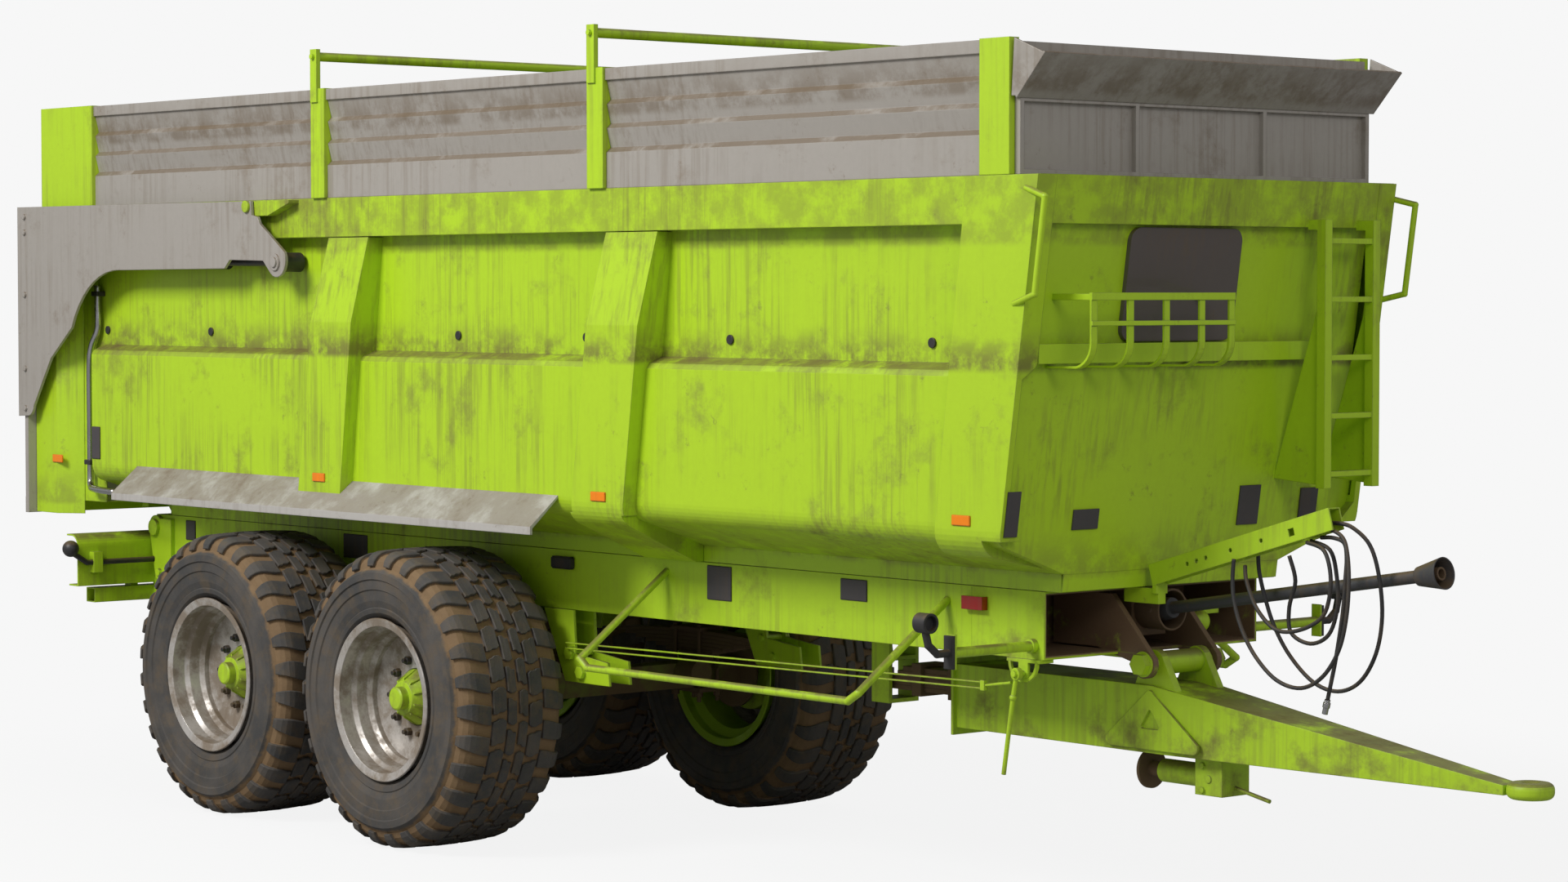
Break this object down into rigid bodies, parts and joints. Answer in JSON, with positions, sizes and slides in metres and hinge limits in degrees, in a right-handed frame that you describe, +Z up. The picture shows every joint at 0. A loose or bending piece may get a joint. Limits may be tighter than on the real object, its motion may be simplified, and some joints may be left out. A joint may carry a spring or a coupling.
{
  "type": "tipping grain trailer",
  "caption": "Rear-tipping farm trailer: leaning-front steel tub with raised sides, lift-up tailgate on side arms, tandem axles, tapered drawbar, power shaft and hoses.",
  "frame": {"origin": "on the ground, under the middle of the bounding box", "axes": "+X forward towards the tow eye, +Y to the left side, +Z up"},
  "size_m": [9.025, 2.55, 3.5848],
  "materials": {
    "green_paint": "satin, dusty",
    "dark_green_paint": "satin, muddy",
    "grey_paint": "satin, dusty",
    "silver_paint": "satin, muddy",
    "black_paint": "satin",
    "bare_iron": "rusty",
    "bright_steel": "ground",
    "tyre_rubber": "matte, dusty",
    "rubber_black": "matte",
    "black_plastic": "matte",
    "red_lens": "gloss"
  },
  "bodies": {
    "chassis": {"chassis_frame": "green_paint", "front_beam": "green_paint", "hinge_pins": "green_paint", "spring_hangers": "green_paint", "leaf_springs": "bare_iron", "axles": "dark_green_paint", "side_guards": "green_paint", "marker_arms": "green_paint", "marker_lamps": "rubber_black", "red_lamps": "red_lens", "hose_arm": "green_paint", "pto_bell": "bare_iron", "accumulator": "green_paint", "underrun_bar": "green_paint", "hose_1": "rubber_black", "hose_2": "rubber_black", "hose_3": "rubber_black", "hose_4": "rubber_black", "hose_5": "rubber_black", "hose_couplings": "bright_steel"},
    "lock_rods": {"lock_rod": "black_paint"},
    "wheel_fl": {"tyre_fl": "tyre_rubber", "rim_fl": "silver_paint", "hub_fl": "green_paint"},
    "wheel_fr": {"tyre_fr": "tyre_rubber", "rim_fr": "silver_paint", "hub_fr": "green_paint"},
    "wheel_rl": {"tyre_rl": "tyre_rubber", "rim_rl": "silver_paint", "hub_rl": "green_paint"},
    "wheel_rr": {"tyre_rr": "tyre_rubber", "rim_rr": "silver_paint", "hub_rr": "green_paint"},
    "towing_bar": {"drawbar": "green_paint", "tow_eye": "green_paint", "drawbar_spring": "bare_iron"},
    "stand_leg": {"stand_barrel": "green_paint"},
    "stand_slider": {"stand_foot": "bare_iron"},
    "power_guard": {"pto_guard": "black_plastic"},
    "power_shaft": {"pto_shaft": "bare_iron"},
    "brake_handle": {"brake_lever": "green_paint"},
    "brake_pull": {"brake_rods": "green_paint"},
    "tipping_barrel": {"tip_barrel": "bright_steel"},
    "stage_1": {"tip_stage_1": "bright_steel"},
    "stage_2": {"tip_stage_2": "bright_steel"},
    "stage_3": {"tip_stage_3": "bright_steel"},
    "tub_body": {"tub": "green_paint", "tub_ribs": "green_paint", "ladder": "green_paint", "grab_handles": "green_paint", "basket_rack": "green_paint", "window": "rubber_black", "fenders": "grey_paint", "extension": "grey_paint", "extension_posts": "green_paint", "cover_bows": "green_paint"},
    "tailgate": {"gate": "grey_paint", "gate_arms": "grey_paint"},
    "gate_barrel_pair": {"gate_barrels": "black_paint"},
    "gate_rod_pair": {"gate_rods": "bright_steel"}
  },
  "joints": [
    {"name": "wheel_fl_spin", "type": "hinge", "parent": "chassis", "child": "wheel_fl", "pos_m": [-0.9145, 0.98, 0.6665], "axis": [0, 1, 0], "continuous": true},
    {"name": "wheel_fr_spin", "type": "hinge", "parent": "chassis", "child": "wheel_fr", "pos_m": [-0.9145, -0.98, 0.6665], "axis": [0, 1, 0], "continuous": true},
    {"name": "wheel_rl_spin", "type": "hinge", "parent": "chassis", "child": "wheel_rl", "pos_m": [-2.3385, 0.98, 0.6665], "axis": [0, 1, 0], "continuous": true},
    {"name": "wheel_rr_spin", "type": "hinge", "parent": "chassis", "child": "wheel_rr", "pos_m": [-2.3385, -0.98, 0.6665], "axis": [0, 1, 0], "continuous": true},
    {"name": "tub_tip", "type": "hinge", "parent": "chassis", "child": "tub_body", "pos_m": [-3.8625, 0, 1.262], "axis": [0, -1, 0], "range_deg": [0, 50]},
    {"name": "gate_lift", "type": "hinge", "parent": "tub_body", "child": "tailgate", "pos_m": [-2.2835, 0, 2.869], "axis": [0, 1, 0], "range_deg": [0, 75]},
    {"name": "gate_cylinder_swing", "type": "hinge", "parent": "tub_body", "child": "gate_barrel_pair", "pos_m": [-3.3835, 0, 2.619], "axis": [0, 1, 0], "range_deg": [-1, 4]},
    {"name": "gate_cylinder_stroke", "type": "slide", "parent": "gate_barrel_pair", "child": "gate_rod_pair", "axis": [1, 0, -0.0097], "range_m": [-0.436, 0]},
    {"name": "tip_cylinder_swing", "type": "hinge", "parent": "chassis", "child": "tipping_barrel", "pos_m": [-1.6265, 0, 1.12], "axis": [0, -1, 0], "range_deg": [0, 25]},
    {"name": "tip_stage_1_slide", "type": "slide", "parent": "tipping_barrel", "child": "stage_1", "axis": [0, 0, 1], "range_m": [0, 0.626]},
    {"name": "tip_stage_2_slide", "type": "slide", "parent": "stage_1", "child": "stage_2", "axis": [0, 0, 1], "range_m": [0, 0.626]},
    {"name": "tip_stage_3_slide", "type": "slide", "parent": "stage_2", "child": "stage_3", "axis": [0, 0, 1], "range_m": [0, 0.626]},
    {"name": "drawbar_pitch", "type": "hinge", "parent": "chassis", "child": "towing_bar", "pos_m": [2.7205, 0, 1.035], "axis": [0, 1, 0], "range_deg": [-1.2, 1.2], "stiffness_Nm_per_rad": 600000},
    {"name": "stand_swing", "type": "hinge", "parent": "towing_bar", "child": "stand_leg", "pos_m": [2.9555, 0, 0.604], "axis": [0, -1, 0], "range_deg": [0, 90]},
    {"name": "stand_extend", "type": "slide", "parent": "stand_leg", "child": "stand_slider", "axis": [-1, 0, 0], "range_m": [0, 0.2]},
    {"name": "power_shaft_tilt", "type": "hinge", "parent": "chassis", "child": "power_guard", "pos_m": [2.6475, 0, 1.234], "axis": [0, -1, 0], "range_deg": [-8, 2]},
    {"name": "power_shaft_spin", "type": "hinge", "parent": "power_guard", "child": "power_shaft", "pos_m": [2.6475, 0, 1.234], "axis": [0.9877, 0, 0.1564], "continuous": true},
    {"name": "brake_handle_swing", "type": "hinge", "parent": "chassis", "child": "brake_handle", "pos_m": [2.4875, -0.645, 1.01], "axis": [0, 1, 0], "range_deg": [0, 20]},
    {"name": "brake_pull_slide", "type": "slide", "parent": "chassis", "child": "brake_pull", "axis": [1, 0, 0], "range_m": [-0.04, 0.01]},
    {"name": "lock_rod_turn", "type": "hinge", "parent": "chassis", "child": "lock_rods", "pos_m": [-3.8885, 0, 1.097], "axis": [0, 1, 0], "range_deg": [0, 100]}
  ],
  "couplings": [
    {"joint": "gate_cylinder_swing", "follows": "gate_lift", "ratio": 0.03773},
    {"joint": "gate_cylinder_stroke", "follows": "gate_lift", "m_per_rad": -0.33106},
    {"joint": "tip_cylinder_swing", "follows": "tub_tip", "ratio": 0.48635},
    {"joint": "tip_stage_1_slide", "follows": "tub_tip", "m_per_rad": 0.71391},
    {"joint": "tip_stage_2_slide", "follows": "tub_tip", "m_per_rad": 0.71391},
    {"joint": "tip_stage_3_slide", "follows": "tub_tip", "m_per_rad": 0.71391},
    {"joint": "brake_pull_slide", "follows": "brake_handle_swing", "m_per_rad": -0.036}
  ]
}
